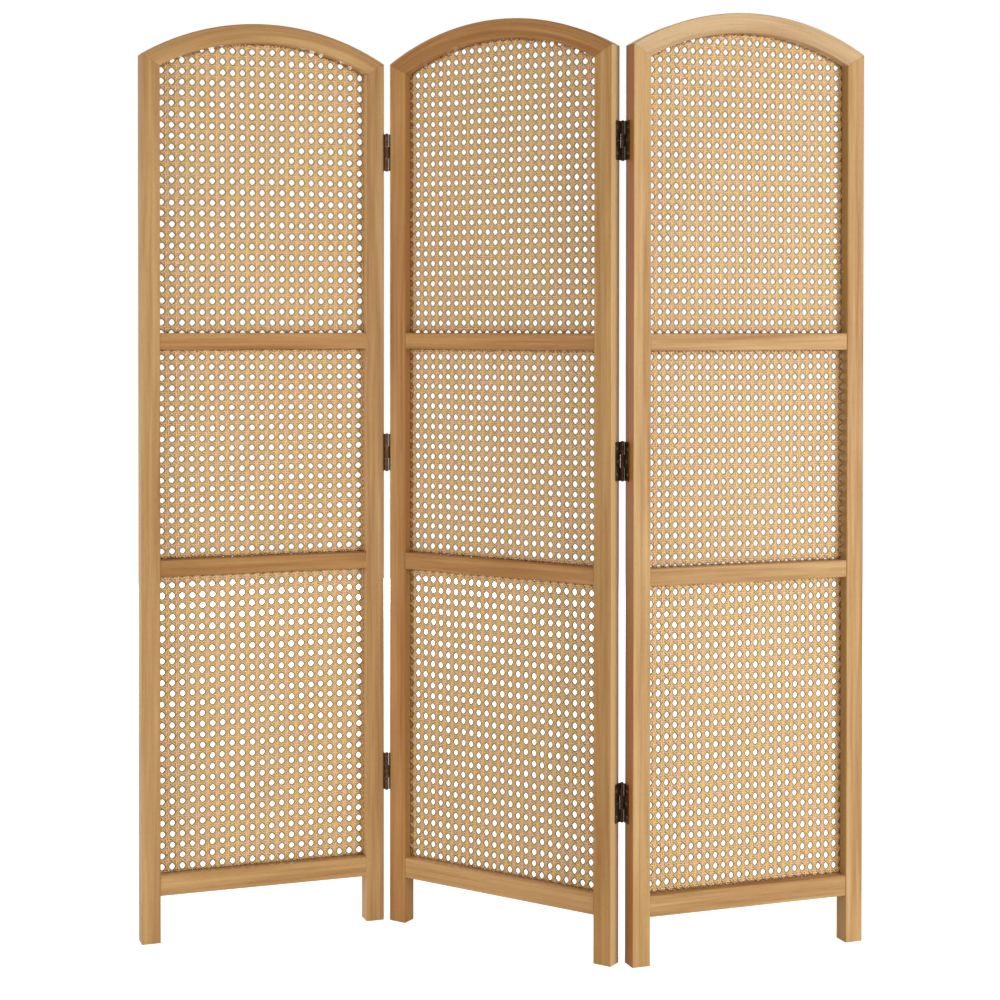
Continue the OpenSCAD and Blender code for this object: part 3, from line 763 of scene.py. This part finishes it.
screws = cross_screws()
screw_bronze = bronzed_steel(
    "screw_metal", (0.14, 0.085, 0.040), (0.30, 0.20, 0.11), (0.60, 0.50, 0.36))
for seed, (node, (panel, right_side, from_back)) in enumerate(SCREW_ROWS.items()):
    facing = Matrix.Rotation(radians(90 if right_side else -90), 4, "Y")
    spots = []
    for hinge_z in HINGE_ZS:
        for deep, up in SCREW_SPOTS:
            spot = (PANEL_W * right_side, PANEL_D - deep if from_back else deep, hinge_z + up)
            spots.append(facing.inverted() @ Vector(spot))
    places = bpy.data.meshes.new(node + "_places")
    places.from_pydata(spots, [], [])
    name = node.replace("_screws", "_wood_screws")
    mesh = grown(name, screws, {
        "Length": 15 * MM, "Shank_radius": 1.45 * MM, "Head_radius": 2.95 * MM,
        "Head_height": LEAF_T, "Recess_width": 0.8 * MM, "Recess_length": 3.4 * MM,
        "Recess_depth": 0.9 * MM, "Seed": FIRST_SCREW_SEED + seed, "Material": screw_bronze,
    }, places)
    mesh.transform(PANELS[panel] @ facing)
    piece = placed(name, mesh)
    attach(piece, f"{panel}_panel")
    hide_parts(node)


# Studio: a white floor that runs out of sight, a broad lamp to the right of the screen,
# a softer one to its left and one behind it, and the camera at eye height in front of it.
FLOOR_HALF = 30.0
WHITE = (1, 1, 1, 1)
FLOOR_GLOW = 0.72          # of the floor where it is looked at, and none where it lights
WORLD_LIGHT = 0.4          # of the surroundings where they light, and 1 where they are looked at
EYE = (-231.75 * MM, -3380.6 * MM, 1142.4 * MM)
LOOK_DOWN = 0.011          # radians
SENSOR_MM = 36
LENS_MM = 65.97
SHIFT_X = 0.125            # of the frame's width
SHIFT_Y = -0.1568


def seen(tree):
    """1 where a surface is looked at, straight, in gloss or through glass, and 0 where it lights."""
    rays = put(tree, "ShaderNodeLightPath").outputs
    mirrored = calc(tree, "MAXIMUM", rays["Is Glossy Ray"], rays["Is Transmission Ray"])
    return calc(tree, "MAXIMUM", rays["Is Camera Ray"], mirrored)


floor_mesh = bpy.data.meshes.new("studio_floor")
corners = ((-1, -1), (1, -1), (1, 1), (-1, 1))
floor_mesh.from_pydata(
    [(x * FLOOR_HALF, y * FLOOR_HALF, 0) for x, y in corners], [], [(0, 1, 2, 3)])
floor = placed("studio_floor", floor_mesh)
floor_white, tree, shader = finish_material("studio_white")
mottle = grain_noise(tree, own_place(tree), scale=3)
feed(tree, shader, {
    "Base Color": blended(tree, mottle, (0.80, 0.80, 0.80), (0.82, 0.82, 0.82)),
    "Roughness": 0.9, "Specular IOR Level": 0.0, "Emission Color": WHITE,
    "Emission Strength": calc(tree, "MULTIPLY", seen(tree), FLOOR_GLOW)})
floor_mesh.materials.append(floor_white)

world = bpy.data.worlds.new("studio")
bpy.context.scene.world = world
world.use_nodes = True
tree = world.node_tree
feed(tree, tree.nodes["Background"], {
    "Color": WHITE, "Strength": spread(tree, seen(tree), 0, 1, WORLD_LIGHT, 1.0)})


def lamp(name, power, size, place, aim):
    """A square soft lamp that faces a point."""
    light = bpy.data.lights.new(name, "AREA")
    light.energy = power
    light.size = size
    sight = (Vector(aim) - Vector(place)).to_track_quat("-Z", "Y")
    placed(name, light).matrix_world = Matrix.Translation(place) @ sight.to_matrix().to_4x4()


lamp("key_lamp", 170, 2.0, (3.94, -3.08, 0.85), (0.0, 0.0, 0.75))
lamp("fill_lamp", 60, 2.0, (-3.46, -2.0, 0.85), (0.0, 0.0, 0.75))
lamp("back_lamp", 170, 2.4, (-0.9, 4.6, 1.1), (0.0, 0.0, 0.8))

view = bpy.data.cameras.new("camera")
view.sensor_width = SENSOR_MM
view.lens = LENS_MM
view.shift_x = SHIFT_X
view.shift_y = SHIFT_Y
camera = placed("camera", view)
camera.location = EYE
camera.rotation_euler = (pi / 2 - LOOK_DOWN, 0, 0)
bpy.context.scene.camera = camera
bpy.context.scene.view_settings.view_transform = "Standard"
